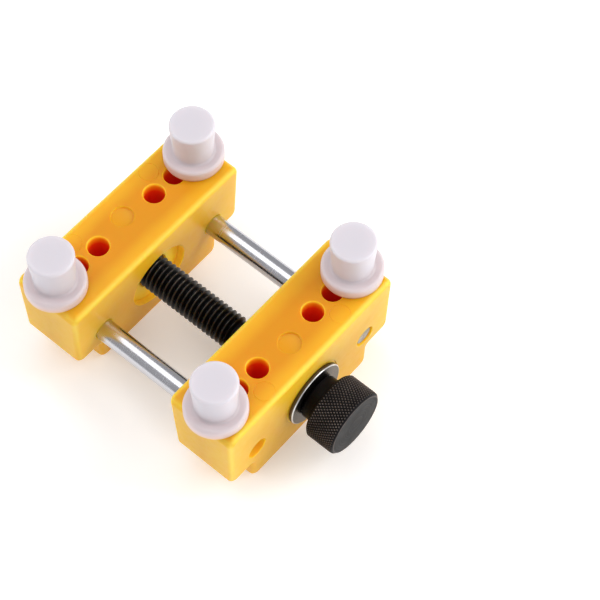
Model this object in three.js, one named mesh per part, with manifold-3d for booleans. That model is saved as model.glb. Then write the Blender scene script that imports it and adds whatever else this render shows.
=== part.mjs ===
// Adjustable watch case holder: two moulded jaws on a lead screw and two guide rods, with four
// plug-in pegs that hold the watch case. Millimetres, +Z up, +Y from the knob to the rear jaw.
import * as THREE from 'three';
import { mergeVertices } from 'three/addons/utils/BufferGeometryUtils.js';
import Module from 'manifold-3d';

const wasm = await Module();
wasm.setup();

// Jaws. Heights count from the underside of the keel, widths along X, depths along Y.
const JAW_LENGTH = 51.4;
const JAW_TOP = 27.0;
const FOOT_LEVEL = 7.5;
const KEEL_LENGTH = 37.8;
const ROW_TO_OUTER = 7.7;
const ROW_TO_INNER = 9.3;
const EDGE_ROUND = 1.2;
const CORNER_ROUND = 2.0;
const ROOT_ROUND = 0.8;
const DRAFT_OUTER = 0.026;
const DRAFT_INNER = 0.06;
const DRAFT_ENDS = 0.01;
const EDGE_STEPS = 4;
const CORNER_STEPS = 3;

// Opening at rest, peg row to peg row, and the axis of the screw and the rods.
const ROW_SPACING = 44.5;
const AXIS_Z = 13.0;

// Peg holes: three each side of the middle, on one pitch.
const PEG_PITCH = 6.35;
const PEG_OUTERMOST = 21.4;
const HOLES_PER_SIDE = 3;
const HOLE_RADIUS = 2.4;
const HOLE_DEPTH = 10.0;
const GATE_MARK = { radius: 2.5, depth: 0.5, offset: 1.2 };

// Pegs.
const PEG = {
  pinRadius: 2.25,
  pinLength: 9.0,
  flangeRadius: 6.7,
  flangeHeight: 2.8,
  baseRadius: 4.4,
  topRadius: 5.0,
  height: 12.0,
  seatGap: 0.02,
  pinChamfer: 0.4,
  flangeChamfer: 0.2,
  flangeRound: 0.7,
  rootRound: 0.7,
  headRound: 0.6,
};

// Guide rods.
const ROD_RADIUS = 2.45;
const ROD_BORE_RADIUS = 2.55;
const ROD_X = 17.4;
const ROD_LENGTH = 56.0;
const ROD_CHAMFER = 0.4;
const ROD_SINK = 0.35;

// Lead screw, M8 x 1.25, right-handed.
const SCREW_RADIUS = 4.0;
const THREAD_PITCH = 1.25;
const THREAD_DEPTH = 0.7;
const THREAD_START = 14.0;
const SHANK_BORE_RADIUS = 4.15;
const SCREW_TAIL = 5.2;
const CLIP_GROOVE_RADIUS = 3.1;
const SHANK_CHAMFER = 0.3;
const THREAD_RUN_IN = 1.0;
const THREAD_OVERLAP = 1.0;

// Washers, clip and the flat seats that they bear on.
const WASHER_RADIUS = 7.7;
const WASHER_THICKNESS = 1.05;
const WASHER_CLEARANCE = 0.25;
const WASHER_CHAMFER = 0.15;
const SEAT_RADIUS = 8.0;
const FRONT_SEAT_DEPTH = 0.24;
const INNER_SEAT_DEPTH = 0.36;
const CONTACT_GAP = 0.3;
const CLIP_RADIUS = 6.4;
const CLIP_THICKNESS = 0.9;
const CLIP_MOUTH = 4.6;
const CLIP_CLEARANCE = 0.2;
const CLIP_POCKET_DEPTH = 2.0;

// Knob: knurled barrel, smooth neck, and the grub screw through the barrel that locks it to the
// lead screw.
const KNOB = {
  neckRadius: 5.2,
  neckLength: 3.1,
  neckChamfer: 0.3,
  barrelRadius: 7.85,
  barrelLength: 7.4,
  chamfer: 0.6,
  knurlSegments: 60,
  knurlRows: 8,
  knurlDepth: 0.22,
  boreDepth: 8.8,
};
const GRUB = {
  radius: 1.1,
  boreRadius: 1.25,
  length: 3.0,
  sink: 0.5,
  fromBarrelEnd: 2.4,
  socketRadius: 0.55,
  socketDepth: 0.9,
  boreTop: AXIS_Z - 3.0,
};

// Brass insert that carries the nut thread in the rear jaw.
const INSERT = {
  boreRadius: 4.3,
  barrelRadius: 5.5,
  barrelLength: 10.0,
  pocketRadius: 5.7,
  flangeRadius: 7.0,
  flangeThickness: 1.2,
  flangePocketRadius: 7.3,
  grooveDepth: 0.5,
  grooveShares: [0.35, 0.65],
  grooveHalfTop: 0.8,
  grooveHalfBottom: 0.5,
  chamfer: 0.3,
  flangeChamfer: 0.25,
};

const ROUND = 36;
const SMALL_ROUND = 20;
const THREAD_SEGMENTS = 14;
const THREAD_ROWS_PER_TURN = 3;
const PEG_SEGMENTS = 28;
const ARC_POINTS = 4;
const INSERT_SEGMENTS = 28;
const GRUB_SEGMENTS = 16;
const HEX = 6;
const CLIP_ARC_STEPS = 20;

// How far a cutting tool runs past the face that it opens.
const OVERRUN = 1.0;
const JAW_OVERRUN = 2.0;

const material = {
  jaw: new THREE.MeshStandardMaterial({ color: '#f2b52c', roughness: 0.32, metalness: 0 }),
  peg: new THREE.MeshStandardMaterial({ color: '#e6e2e6', roughness: 0.42, metalness: 0 }),
  steel: new THREE.MeshStandardMaterial({ color: '#c8c8ca', roughness: 0.28, metalness: 1 }),
  blackSteel: new THREE.MeshStandardMaterial({ color: '#26262a', roughness: 0.4, metalness: 0.8 }),
  knob: new THREE.MeshStandardMaterial({ color: '#232327', roughness: 0.5, metalness: 0.2 }),
  brass: new THREE.MeshStandardMaterial({ color: '#c9a24a', roughness: 0.3, metalness: 1 }),
};

// Distances along Y from the front jaw's peg row to faces at the height of the screw axis.
const AXIS_DROP = JAW_TOP - AXIS_Z;
const FRONT_FACE_Y = -ROW_TO_OUTER + DRAFT_OUTER * AXIS_DROP;
const FRONT_SEAT_Y = FRONT_FACE_Y + FRONT_SEAT_DEPTH;
const INNER_SEAT_Y = ROW_TO_INNER - DRAFT_INNER * AXIS_DROP - INNER_SEAT_DEPTH;
const REAR_FACE_Y = ROW_SPACING - FRONT_FACE_Y;
const REAR_INNER_Y = ROW_SPACING - ROW_TO_INNER + DRAFT_INNER * AXIS_DROP;
const SCREW_END_Y = REAR_FACE_Y + SCREW_TAIL;
const NECK_Y = FRONT_SEAT_Y - WASHER_THICKNESS - 2 * CONTACT_GAP;
const KNOB_FACE_Y = NECK_Y - KNOB.neckLength - KNOB.barrelLength;
const GRUB_Y = NECK_Y - KNOB.neckLength - GRUB.fromBarrelEnd;
const CLIP_Y = INNER_SEAT_Y + WASHER_THICKNESS + 2 * CONTACT_GAP;

// The frame's origin is under the middle of the whole holder, knob face to screw end.
const MIDDLE_Y = (KNOB_FACE_Y + SCREW_END_Y) / 2;

function toManifold(geometry) {
  const bare = geometry.clone();
  bare.deleteAttribute('normal');
  bare.deleteAttribute('uv');
  const merged = mergeVertices(bare, 1e-4);
  const mesh = new wasm.Mesh({
    numProp: 3,
    vertProperties: new Float32Array(merged.attributes.position.array),
    triVerts: new Uint32Array(merged.index.array),
  });
  return new wasm.Manifold(mesh);
}

function toGeometry(solid) {
  const mesh = solid.getMesh();
  const geometry = new THREE.BufferGeometry();
  geometry.setAttribute('position', new THREE.BufferAttribute(mesh.vertProperties, 3));
  geometry.setIndex(new THREE.BufferAttribute(mesh.triVerts, 1));
  const flat = geometry.toNonIndexed();
  flat.computeVertexNormals();
  return flat;
}

function cut(geometry, tools) {
  const solid = tools.reduce((rest, tool) => rest.subtract(toManifold(tool)), toManifold(geometry));
  return toGeometry(solid);
}

// A round bar along Y from y0 to y1.
function barY(radius, y0, y1, x = 0, z = AXIS_Z, segments = ROUND) {
  const bar = new THREE.CylinderGeometry(radius, radius, y1 - y0, segments);
  return bar.translate(x, (y0 + y1) / 2, z);
}

// A round bar along Z from z0 to z1.
function barZ(radius, z0, z1, x, y, segments = SMALL_ROUND) {
  const bar = new THREE.CylinderGeometry(radius, radius, z1 - z0, segments);
  return bar.rotateX(Math.PI / 2).translate(x, y, (z0 + z1) / 2);
}

// A body of revolution about the screw axis. Profile points are [radius, y].
function turnedY(profile, segments = ROUND) {
  const points = profile.map(([radius, y]) => new THREE.Vector2(radius, y));
  return new THREE.LatheGeometry(points, segments).translate(0, 0, AXIS_Z);
}

// Rounds each right-angled corner [x, z, radius] of an outline given in order.
function roundedOutline(corners) {
  const shape = new THREE.Shape();
  corners.forEach(([x, z, radius], index) => {
    const before = corners[(index + corners.length - 1) % corners.length];
    const after = corners[(index + 1) % corners.length];
    const back = new THREE.Vector2(before[0] - x, before[1] - z).setLength(radius);
    const ahead = new THREE.Vector2(after[0] - x, after[1] - z).setLength(radius);
    const clockwise = back.cross(ahead) > 0;
    const [centreX, centreZ] = [x + back.x + ahead.x, z + back.y + ahead.y];
    const [from, to] = [ahead.clone().negate().angle(), back.clone().negate().angle()];
    shape.absarc(centreX, centreZ, radius, from, to, clockwise);
  });
  shape.closePath();
  return shape;
}

// Front view of a jaw: a bar with a shorter keel under its middle.
function jawOutline() {
  const half = JAW_LENGTH / 2;
  const keel = KEEL_LENGTH / 2;
  const left = [
    [-half, JAW_TOP, CORNER_ROUND],
    [-half, FOOT_LEVEL, CORNER_ROUND],
    [-keel, FOOT_LEVEL, ROOT_ROUND],
    [-keel, 0, CORNER_ROUND],
  ];
  const right = left.map(([x, z, radius]) => [-x, z, radius]).reverse();
  return roundedOutline([...left, ...right]);
}

// Moulding draft: every side face leans inwards towards the bottom.
function addDraft(geometry, outerY, innerY) {
  const position = geometry.attributes.position;
  for (let i = 0; i < position.count; i += 1) {
    const drop = JAW_TOP - position.getZ(i);
    const share = (position.getY(i) - outerY) / (innerY - outerY);
    const lean = DRAFT_OUTER * (1 - share) - DRAFT_INNER * share;
    position.setY(i, position.getY(i) + Math.sign(innerY - outerY) * drop * lean);
    position.setX(i, position.getX(i) * (1 - (DRAFT_ENDS * drop) / (JAW_LENGTH / 2)));
  }
  return geometry;
}

// The plain moulded block. toward is +1 where the inner face looks to +Y, -1 where to -Y.
function jawBlock(rowY, toward) {
  const depth = ROW_TO_OUTER + ROW_TO_INNER;
  const outerY = rowY - toward * ROW_TO_OUTER;
  const innerY = rowY + toward * ROW_TO_INNER;
  const block = new THREE.ExtrudeGeometry(jawOutline(), {
    depth: depth - 2 * EDGE_ROUND,
    bevelEnabled: true,
    bevelThickness: EDGE_ROUND,
    bevelSize: EDGE_ROUND,
    bevelOffset: -EDGE_ROUND,
    bevelSegments: EDGE_STEPS,
    curveSegments: CORNER_STEPS,
  });
  block.rotateX(Math.PI / 2);
  block.translate(0, Math.max(outerY, innerY) - EDGE_ROUND, 0);
  return addDraft(block, outerY, innerY);
}

function pegHoleTools(rowY) {
  const tools = [];
  for (const side of [-1, 1]) {
    for (let i = 0; i < HOLES_PER_SIDE; i += 1) {
      const x = side * (PEG_OUTERMOST - i * PEG_PITCH);
      tools.push(barZ(HOLE_RADIUS, JAW_TOP - HOLE_DEPTH, JAW_TOP + OVERRUN, x, rowY));
    }
  }
  return tools;
}

function rodBoreTools(y0, y1) {
  return [-ROD_X, ROD_X].map((x) => barY(ROD_BORE_RADIUS, y0, y1, x, AXIS_Z, SMALL_ROUND));
}

function gateMarkTool(rowY, toward) {
  const y = rowY - toward * GATE_MARK.offset;
  return barZ(GATE_MARK.radius, JAW_TOP - GATE_MARK.depth, JAW_TOP + OVERRUN, 0, y);
}

function frontJaw() {
  const past = ROW_TO_INNER + JAW_OVERRUN;
  return cut(jawBlock(0, 1), [
    ...pegHoleTools(0),
    ...rodBoreTools(-past, past),
    gateMarkTool(0, 1),
    barY(SHANK_BORE_RADIUS, -past, past),
    barY(SEAT_RADIUS, -past, FRONT_SEAT_Y),
    barY(SEAT_RADIUS, INNER_SEAT_Y, past),
  ]);
}

function rearJaw() {
  const past = ROW_TO_INNER + JAW_OVERRUN;
  const nearSide = ROW_SPACING - past;
  const farSide = ROW_SPACING + past;
  const barrelStart = REAR_FACE_Y - INSERT.barrelLength - 2 * CONTACT_GAP;
  return cut(jawBlock(ROW_SPACING, -1), [
    ...pegHoleTools(ROW_SPACING),
    ...rodBoreTools(nearSide, farSide),
    gateMarkTool(ROW_SPACING, -1),
    barY(INSERT.boreRadius, nearSide, farSide),
    barY(SEAT_RADIUS, nearSide, REAR_INNER_Y + CLIP_POCKET_DEPTH),
    barY(INSERT.pocketRadius, barrelStart, farSide),
    barY(INSERT.flangePocketRadius, REAR_FACE_Y - 2 * CONTACT_GAP, farSide),
  ]);
}

function guideRod(x, y0) {
  const profile = [
    [0, 0],
    [ROD_RADIUS - ROD_CHAMFER, 0],
    [ROD_RADIUS, ROD_CHAMFER],
    [ROD_RADIUS, ROD_LENGTH - ROD_CHAMFER],
    [ROD_RADIUS - ROD_CHAMFER, ROD_LENGTH],
    [0, ROD_LENGTH],
  ];
  return turnedY(profile, SMALL_ROUND).translate(x, y0, 0);
}

// Points of a rounded corner, side first. A negative radius fills the root of a step instead.
function quarterArc(cornerRadius, cornerHeight, rounding) {
  const size = Math.abs(rounding);
  const centreHeight = rounding > 0 ? cornerHeight - size : cornerHeight + size;
  return Array.from({ length: ARC_POINTS }, (_, i) => {
    const angle = (i / (ARC_POINTS - 1)) * (Math.PI / 2);
    const outward = cornerRadius - rounding + rounding * Math.cos(angle);
    return [outward, centreHeight + rounding * Math.sin(angle)];
  });
}

// Peg turned about Z: pin, flange, and a head that widens upwards.
function peg(x, y) {
  const top = PEG.seatGap + PEG.height;
  const flangeTop = PEG.seatGap + PEG.flangeHeight;
  const profile = [
    [0, -PEG.pinLength],
    [PEG.pinRadius - PEG.pinChamfer, -PEG.pinLength],
    [PEG.pinRadius, PEG.pinChamfer - PEG.pinLength],
    [PEG.pinRadius, PEG.seatGap],
    [PEG.flangeRadius - PEG.flangeChamfer, PEG.seatGap],
    [PEG.flangeRadius, PEG.seatGap + PEG.flangeChamfer],
    ...quarterArc(PEG.flangeRadius, flangeTop, PEG.flangeRound),
    ...quarterArc(PEG.baseRadius, flangeTop, -PEG.rootRound).reverse(),
    ...quarterArc(PEG.topRadius, top, PEG.headRound),
    [0, top],
  ];
  const points = profile.map(([radius, z]) => new THREE.Vector2(radius, z));
  const turned = new THREE.LatheGeometry(points, PEG_SEGMENTS);
  return turned.rotateX(Math.PI / 2).translate(x, y, JAW_TOP);
}

// Radius of the triangular thread at an angle about +Y and a distance along it.
function threadRadius(angle, y) {
  const turns = y / THREAD_PITCH - angle / (2 * Math.PI);
  const phase = turns - Math.floor(turns);
  return SCREW_RADIUS - THREAD_DEPTH * Math.abs(2 * phase - 1);
}

function threadedBar(y0, y1) {
  const rows = Math.round((THREAD_ROWS_PER_TURN * (y1 - y0)) / THREAD_PITCH);
  const bar = new THREE.CylinderGeometry(
    SCREW_RADIUS,
    SCREW_RADIUS,
    y1 - y0,
    THREAD_SEGMENTS,
    rows,
  );
  bar.translate(0, (y0 + y1) / 2, 0);
  const position = bar.attributes.position;
  for (let i = 0; i < position.count; i += 1) {
    const x = position.getX(i);
    const y = position.getY(i);
    const z = position.getZ(i);
    const length = Math.hypot(x, z);
    if (length < SCREW_RADIUS / 2) continue;
    const fromEnd = Math.min(y - y0, y1 - y);
    const limit = SCREW_RADIUS - THREAD_DEPTH + Math.min(THREAD_DEPTH, fromEnd);
    const scale = Math.min(threadRadius(Math.atan2(x, z), y), limit) / length;
    position.setX(i, x * scale);
    position.setZ(i, z * scale);
  }
  return bar.translate(0, 0, AXIS_Z);
}

// Plain shank through the knob and front jaw, clip groove, then the thread.
function leadScrew() {
  const start = NECK_Y - KNOB.boreDepth + CONTACT_GAP;
  const grooveStart = CLIP_Y - CONTACT_GAP;
  const grooveEnd = CLIP_Y + CLIP_THICKNESS + CONTACT_GAP;
  const shank = turnedY([
    [0, start],
    [SCREW_RADIUS - SHANK_CHAMFER, start],
    [SCREW_RADIUS, start + SHANK_CHAMFER],
    [SCREW_RADIUS, grooveStart],
    [CLIP_GROOVE_RADIUS, grooveStart],
    [CLIP_GROOVE_RADIUS, grooveEnd],
    [SCREW_RADIUS, grooveEnd],
    [SCREW_RADIUS, THREAD_START - THREAD_RUN_IN],
    [SCREW_RADIUS - THREAD_DEPTH, THREAD_START - THREAD_RUN_IN + THREAD_DEPTH],
    [SCREW_RADIUS - THREAD_DEPTH, THREAD_START + THREAD_OVERLAP],
    [0, THREAD_START + THREAD_OVERLAP],
  ], SMALL_ROUND);
  return toGeometry(toManifold(shank).add(toManifold(threadedBar(THREAD_START, SCREW_END_Y))));
}

function washer(y0) {
  const inner = SCREW_RADIUS + WASHER_CLEARANCE;
  const edge = WASHER_CHAMFER;
  const y1 = y0 + WASHER_THICKNESS;
  return turnedY([
    [inner, y0],
    [WASHER_RADIUS - edge, y0],
    [WASHER_RADIUS, y0 + edge],
    [WASHER_RADIUS, y1 - edge],
    [WASHER_RADIUS - edge, y1],
    [inner, y1],
    [inner, y0],
  ]);
}

// Spring clip with a mouth on one side, snapped over the screw's groove.
function retainingClip() {
  const clip = new THREE.Shape();
  const inner = CLIP_GROOVE_RADIUS + CLIP_CLEARANCE;
  const mouth = Math.asin(CLIP_MOUTH / 2 / CLIP_RADIUS);
  const throat = Math.asin(CLIP_MOUTH / 2 / inner);
  clip.absarc(0, 0, CLIP_RADIUS, mouth, 2 * Math.PI - mouth, false);
  clip.absarc(0, 0, inner, 2 * Math.PI - throat, throat, true);
  clip.closePath();
  const plate = new THREE.ExtrudeGeometry(clip, {
    depth: CLIP_THICKNESS,
    bevelEnabled: false,
    curveSegments: CLIP_ARC_STEPS,
  });
  plate.rotateX(Math.PI / 2);
  return plate.translate(0, CLIP_Y + CLIP_THICKNESS, AXIS_Z);
}

// Knob turned about the screw axis, from the neck's end to the outer face.
function knobProfile() {
  const neckEnd = NECK_Y - KNOB.neckLength;
  const { neckRadius, barrelRadius, chamfer } = KNOB;
  const barrel = [];
  const length = KNOB.barrelLength - 2 * chamfer;
  for (let row = 0; row < KNOB.knurlRows; row += 1) {
    barrel.push([barrelRadius, KNOB_FACE_Y + chamfer + (length * row) / (KNOB.knurlRows - 1)]);
  }
  return [
    [0, KNOB_FACE_Y],
    [barrelRadius - chamfer, KNOB_FACE_Y],
    ...barrel,
    [barrelRadius - chamfer, neckEnd],
    [neckRadius, neckEnd],
    [neckRadius, NECK_Y - KNOB.neckChamfer],
    [neckRadius - KNOB.neckChamfer, NECK_Y],
    [0, NECK_Y],
  ];
}

// The profile's points on the knob's face, before the first one on the barrel.
const POINTS_BEFORE_BARREL = 2;

// Diamond knurl: every other point of the barrel's grid is pressed in.
function knurl(geometry, pointsPerColumn) {
  const position = geometry.attributes.position;
  const first = POINTS_BEFORE_BARREL;
  const last = first + KNOB.knurlRows - 1;
  for (let i = 0; i < position.count; i += 1) {
    const row = i % pointsPerColumn;
    const column = Math.floor(i / pointsPerColumn) % KNOB.knurlSegments;
    if (row < first || row > last || (row + column) % 2 === 0) continue;
    const scale = 1 - KNOB.knurlDepth / KNOB.barrelRadius;
    position.setX(i, position.getX(i) * scale);
    position.setZ(i, position.getZ(i) * scale);
  }
  return geometry;
}

function thumbKnob() {
  const profile = knobProfile();
  const points = profile.map(([radius, y]) => new THREE.Vector2(radius, y));
  const turned = new THREE.LatheGeometry(points, KNOB.knurlSegments);
  const body = knurl(turned, profile.length).translate(0, 0, AXIS_Z);
  const bottom = AXIS_Z - KNOB.barrelRadius;
  return cut(body, [
    barY(SHANK_BORE_RADIUS, NECK_Y - KNOB.boreDepth, NECK_Y + OVERRUN, 0, AXIS_Z, SMALL_ROUND),
    barZ(GRUB.boreRadius, bottom - OVERRUN, GRUB.boreTop, 0, GRUB_Y, GRUB_SEGMENTS),
  ]);
}

function grubScrew() {
  const bottom = AXIS_Z - KNOB.barrelRadius + GRUB.sink;
  const socketTop = bottom + GRUB.socketDepth;
  const body = barZ(GRUB.radius, bottom, bottom + GRUB.length, 0, GRUB_Y, GRUB_SEGMENTS);
  return cut(body, [barZ(GRUB.socketRadius, bottom - OVERRUN, socketTop, 0, GRUB_Y, HEX)]);
}

// Flanged insert, its barrel ringed by grooves that key it into the plastic.
function threadInsert() {
  const { boreRadius, barrelRadius, flangeRadius, grooveDepth } = INSERT;
  const flangeStart = REAR_FACE_Y - CONTACT_GAP;
  const flangeEnd = flangeStart + INSERT.flangeThickness;
  const start = flangeStart - INSERT.barrelLength;
  const grooves = INSERT.grooveShares.flatMap((share) => {
    const y = start + share * INSERT.barrelLength;
    return [
      [barrelRadius, y - INSERT.grooveHalfTop],
      [barrelRadius - grooveDepth, y - INSERT.grooveHalfBottom],
      [barrelRadius - grooveDepth, y + INSERT.grooveHalfBottom],
      [barrelRadius, y + INSERT.grooveHalfTop],
    ];
  });
  return turnedY([
    [boreRadius, start],
    [barrelRadius - INSERT.chamfer, start],
    [barrelRadius, start + INSERT.chamfer],
    ...grooves,
    [barrelRadius, flangeStart],
    [flangeRadius, flangeStart],
    [flangeRadius, flangeEnd - INSERT.flangeChamfer],
    [flangeRadius - INSERT.flangeChamfer, flangeEnd],
    [boreRadius, flangeEnd],
    [boreRadius, start],
  ], INSERT_SEGMENTS);
}

const holder = new THREE.Group();
holder.position.y = -MIDDLE_Y;

function addPart(name, geometry, finish) {
  const mesh = new THREE.Mesh(geometry, finish);
  mesh.name = name;
  holder.add(mesh);
}

addPart('front_jaw', frontJaw(), material.jaw);
addPart('rear_jaw', rearJaw(), material.jaw);
addPart('guide_rod_right', guideRod(ROD_X, FRONT_FACE_Y + ROD_SINK), material.steel);
addPart('guide_rod_left', guideRod(-ROD_X, REAR_FACE_Y - ROD_SINK - ROD_LENGTH), material.steel);
addPart('lead_screw', leadScrew(), material.blackSteel);
addPart('thumb_knob', thumbKnob(), material.knob);
addPart('knob_grub_screw', grubScrew(), material.blackSteel);
addPart('thrust_washer_front', washer(NECK_Y + CONTACT_GAP), material.steel);
addPart('thrust_washer_inner', washer(INNER_SEAT_Y + CONTACT_GAP), material.steel);
addPart('retaining_clip', retainingClip(), material.steel);
addPart('thread_insert', threadInsert(), material.brass);

for (const [rowName, rowY] of [['front', 0], ['rear', ROW_SPACING]]) {
  for (const [sideName, side] of [['left', -1], ['right', 1]]) {
    addPart(`peg_${rowName}_${sideName}`, peg(side * PEG_OUTERMOST, rowY), material.peg);
  }
}

export default holder;
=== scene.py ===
"""Looks of the adjustable watch case holder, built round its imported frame.

Two amber nylon jaws slide on two steel rods. A blackened lead screw with a knurled knob draws
them together, and four white pegs on the jaws grip the watch case. Sizes are in millimetres
until a mesh is made; the frame itself is in metres.
"""

from __future__ import annotations

import logging
import math
from collections.abc import Sequence
from dataclasses import dataclass, field
from enum import Enum
from typing import Any, Final

import bmesh
import bpy
import numpy as np
from mathutils import Matrix, Vector


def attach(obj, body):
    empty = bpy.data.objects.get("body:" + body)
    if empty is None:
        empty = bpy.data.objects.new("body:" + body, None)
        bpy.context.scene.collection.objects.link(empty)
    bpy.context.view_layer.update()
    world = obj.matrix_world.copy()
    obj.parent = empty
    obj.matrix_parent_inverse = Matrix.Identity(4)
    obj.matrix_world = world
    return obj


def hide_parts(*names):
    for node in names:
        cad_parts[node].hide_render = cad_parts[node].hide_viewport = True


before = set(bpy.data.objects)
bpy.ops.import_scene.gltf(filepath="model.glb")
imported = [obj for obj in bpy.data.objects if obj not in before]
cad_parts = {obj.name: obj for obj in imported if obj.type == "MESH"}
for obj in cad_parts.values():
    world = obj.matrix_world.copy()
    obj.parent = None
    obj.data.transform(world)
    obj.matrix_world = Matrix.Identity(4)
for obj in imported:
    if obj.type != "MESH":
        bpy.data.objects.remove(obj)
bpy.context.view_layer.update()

LOG: Final = logging.getLogger("case_holder")
MM: Final = 0.001

# Where things stand in the frame the pieces share, in millimetres. The jaws' peg rows give the
# stations along Y; the screw and both rods lie at one height.
MIDDLE: Final = 18.895
AXIS_Z: Final = 13.0
JAW_TOP: Final = 27.0
FRONT_ROW: Final = -MIDDLE
REAR_ROW: Final = 44.5 - MIDDLE
OUTER_FACE: Final = 7.336
INNER_FACE: Final = 8.46
FRONT_FACE_Y: Final = FRONT_ROW - OUTER_FACE
REAR_FACE_Y: Final = REAR_ROW + OUTER_FACE
FRONT_SEAT_Y: Final = FRONT_FACE_Y + 0.24
INNER_SEAT_Y: Final = FRONT_ROW + INNER_FACE - 0.36
NECK_Y: Final = FRONT_SEAT_Y - 1.65
CLIP_Y: Final = INNER_SEAT_Y + 1.65
WASHER_GAP: Final = 0.3
SCREW_RADIUS: Final = 4.0
THREAD_PITCH: Final = 1.25
THREAD_DEPTH: Final = 0.7
KNOB_RADIUS: Final = 7.85
KNOB_NECK: Final = 3.1
GRUB_Y: Final = NECK_Y - KNOB_NECK - 2.4
ROD_X: Final = 17.4
ROD_LENGTH: Final = 56.0
ROD_SINK: Final = 0.35
PEG_X: Final = 21.4
MOULDED_IOR: Final = 1.53


# ---------------------------------------------------------------- shapes


class Ends(Enum):
    """How the two ends of a tube of rings are closed."""

    POLES = "a fan to a point at the middle of each end"
    JOINED = "the last ring runs on into the first"


class Axis(Enum):
    """The direction a round piece is turned about."""

    Y = "along the screw"
    Z = "upright"


@dataclass(frozen=True)
class Shell:
    """A closed surface, with any painted values at its points.

    Args:
        points: One row of x, y, z in millimetres per point.
        quads: Rows of four corners.
        triangles: Rows of three corners.
        paint: A value per point for each named attribute.
    """

    points: np.ndarray
    quads: np.ndarray
    triangles: np.ndarray
    paint: dict[str, np.ndarray] = field(default_factory=dict)


def ring_shell(
    rings: np.ndarray, ends: Ends, paint: dict[str, np.ndarray] | None = None
) -> Shell:
    """Joins a stack of rings into a closed surface.

    Point (row, column) joins its neighbours in both directions; columns wrap round.

    Args:
        rings: Array of rows x columns x 3.
        ends: How the first and last ring are closed.
        paint: Values of the shape rows x columns for each attribute.

    Returns:
        The closed surface.
    """
    rows, columns = rings.shape[:2]
    row = np.arange(rows if ends is Ends.JOINED else rows - 1)[:, None]
    column = np.arange(columns)[None, :]
    following, below = (column + 1) % columns, (row + 1) % rows
    corners = (
        row * columns + column,
        row * columns + following,
        below * columns + following,
        below * columns + column,
    )
    quads = np.stack(np.broadcast_arrays(*corners), -1).reshape(-1, 4)
    points = rings.reshape(-1, 3)
    values = {name: value.reshape(-1) for name, value in (paint or {}).items()}
    if ends is Ends.JOINED:
        return Shell(points, quads, np.zeros((0, 3), int), values)
    first, last = rows * columns, rows * columns + 1
    around = np.arange(columns)
    around_next = (around + 1) % columns
    top = (rows - 1) * columns
    fans = [
        np.stack([np.full(columns, first), around_next, around], -1),
        np.stack([np.full(columns, last), top + around, top + around_next], -1),
    ]
    points = np.vstack([points, rings[0].mean(0), rings[-1].mean(0)])
    values = {
        name: np.append(value, [value[:columns].mean(), value[-columns:].mean()])
        for name, value in values.items()
    }
    return Shell(points, quads, np.vstack(fans), values)


def joined(shells: Sequence[Shell]) -> Shell:
    """Puts several closed surfaces into one, keeping each one's faces on its own points.

    Args:
        shells: The surfaces.

    Returns:
        One surface that holds them all.
    """
    starts = np.cumsum([0] + [len(s.points) for s in shells[:-1]])
    return Shell(
        np.vstack([s.points for s in shells]),
        np.vstack([s.quads + start for s, start in zip(shells, starts)]),
        np.vstack([s.triangles + start for s, start in zip(shells, starts)]),
    )


def rounded(
    corners: Sequence[tuple[float, float, float]], closed: bool, steps: int = 6
) -> np.ndarray:
    """Rounds the corners of a line in a plane.

    Each corner is replaced by the arc of the given radius that touches both of its sides. The arc
    starts and ends at radius / tan(half the corner's angle) from the corner, and its points are
    the weighted sums of the two end spokes by the sines of the angle still to go and gone.

    Args:
        corners: First coordinate, second coordinate and rounding of each corner, in order.
        closed: Whether the last corner joins the first.
        steps: Arc pieces per corner.

    Returns:
        The rounded line as rows of two coordinates.
    """
    spots = np.array([c[:2] for c in corners], float)
    count, pieces = len(spots), []
    for index, (spot, radius) in enumerate(zip(spots, [c[2] for c in corners])):
        at_end = not closed and index in (0, count - 1)
        if radius <= 0 or at_end:
            pieces.append(spot[None])
            continue
        back = spots[index - 1] - spot
        ahead = spots[(index + 1) % count] - spot
        back, ahead = back / np.linalg.norm(back), ahead / np.linalg.norm(ahead)
        half = math.acos(np.clip(back @ ahead, -1, 1)) / 2
        reach = radius / math.tan(half)
        middle = spot + (back + ahead) / np.linalg.norm(back + ahead) * radius / math.sin(half)
        spokes = spot + reach * np.stack([back, ahead]) - middle
        turn, share = math.pi - 2 * half, np.linspace(0, 1, steps + 1)[:, None]
        arc = np.sin((1 - share) * turn) * spokes[0] + np.sin(share * turn) * spokes[1]
        pieces.append(middle + arc / math.sin(turn))
    return np.vstack(pieces)


def turned(
    radius: np.ndarray,
    station: np.ndarray,
    axis: Axis,
    centre: tuple[float, float],
    ends: Ends = Ends.POLES,
    segments: int = 96,
    lean: np.ndarray | float = 0.0,
    paint: dict[str, np.ndarray] | None = None,
) -> Shell:
    """Carries a profile round an axis.

    A point is the centre plus the radius times the sine and cosine of its angle, at its station
    along the axis. Lean adds slope times height above the screw to the station.

    Args:
        radius: Radius of each profile row, or rows x segments where it changes with the angle.
        station: Place of each row along the axis.
        axis: The axis turned about.
        centre: x and z of a Y axis, or x and y of a Z axis.
        ends: How the ends close.
        segments: Points per ring.
        lean: Slope of each row, for rims that follow a drafted face.
        paint: Rows x segments of values per attribute.

    Returns:
        The turned surface.
    """
    angle = np.arange(segments) * (2 * math.pi / segments)
    radius = np.asarray(radius, float)
    radius = radius if radius.ndim == 2 else np.repeat(radius[:, None], segments, 1)
    along = np.repeat(np.asarray(station, float)[:, None], segments, 1)
    across, up = radius * np.sin(angle), radius * np.cos(angle)
    if axis is Axis.Y:
        slope = np.broadcast_to(np.asarray(lean, float).reshape(-1, 1), radius.shape)
        rings = np.stack([centre[0] + across, along + slope * up, centre[1] + up], -1)
    else:
        rings = np.stack([centre[0] + across, centre[1] + up, along], -1)
    return ring_shell(rings, ends, paint)


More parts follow.
